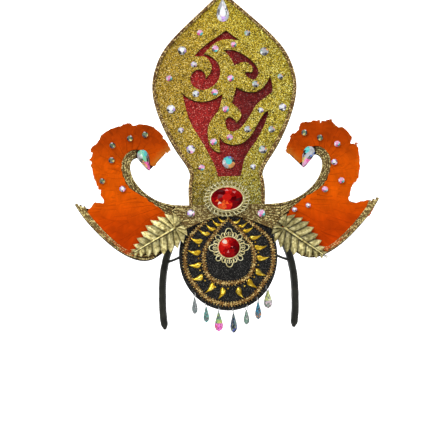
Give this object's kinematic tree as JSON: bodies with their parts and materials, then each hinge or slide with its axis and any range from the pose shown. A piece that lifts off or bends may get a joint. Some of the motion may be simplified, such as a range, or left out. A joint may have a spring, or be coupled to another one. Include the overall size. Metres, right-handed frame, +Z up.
{
  "type": "feather headdress",
  "caption": "Headdress with a pierced leaf-shaped crest, curled feathered wings, a forehead disc hung with drops and a padded arch headband.",
  "frame": {"origin": "underside of the headband's arch at its middle, where it sits on the crown of the head", "axes": "+Z up towards the crest's tip, +X to the right as seen from the front, +Y towards the back of the head"},
  "size_m": [0.336, 0.1068, 0.3824],
  "materials": {
    "cloth": "black cloth, slight sheen",
    "gold_foam": "gold glitter",
    "red_foam": "red glitter",
    "black_foam": "black glitter",
    "bronze_braid": "metallic thread",
    "copper_braid": "metallic thread",
    "feather": "soft, slight sheen",
    "clear_stone": "foil-backed, iridescent",
    "red_stone": "foil-backed, polished",
    "drop_glass": "iridescent, polished",
    "pale_gold": "antique, stamped",
    "gold_foil": "bright",
    "silver_wire": "bright wire"
  },
  "bodies": {
    "root": {"brace_left": "cloth", "brace_right": "cloth", "collar_braid": "bronze_braid", "crest_backing": "red_foam", "crest_braid": "bronze_braid", "crest_large_stone": "clear_stone", "crest_panel": "gold_foam", "crest_stones": "clear_stone", "crest_top_stone": "clear_stone", "curl_braid_left": "bronze_braid", "curl_braid_right": "bronze_braid", "curl_stone_left": "clear_stone", "curl_stone_right": "clear_stone", "disc": "black_foam", "disc_foil_leaves": "gold_foil", "disc_gem": "red_stone", "disc_inner_braid": "copper_braid", "disc_outer_braid": "copper_braid", "disc_setting": "pale_gold", "drop_1": "drop_glass", "drop_2": "drop_glass", "drop_3": "drop_glass", "drop_4": "drop_glass", "drop_5": "drop_glass", "drop_6": "drop_glass", "drop_7": "drop_glass", "drop_ring_1": "silver_wire", "drop_ring_2": "silver_wire", "drop_ring_3": "silver_wire", "drop_ring_4": "silver_wire", "drop_ring_5": "silver_wire", "drop_ring_6": "silver_wire", "drop_ring_7": "silver_wire", "headband": "cloth", "leaf_left": "pale_gold", "leaf_right": "pale_gold", "oval_gem": "red_stone", "oval_setting": "pale_gold", "rim_braid_left": "bronze_braid", "rim_braid_right": "bronze_braid", "wing_board": "black_foam", "wing_feathers_left": "feather", "wing_feathers_right": "feather", "wing_stones_left": "clear_stone", "wing_stones_right": "clear_stone"}
  },
  "joints": []
}
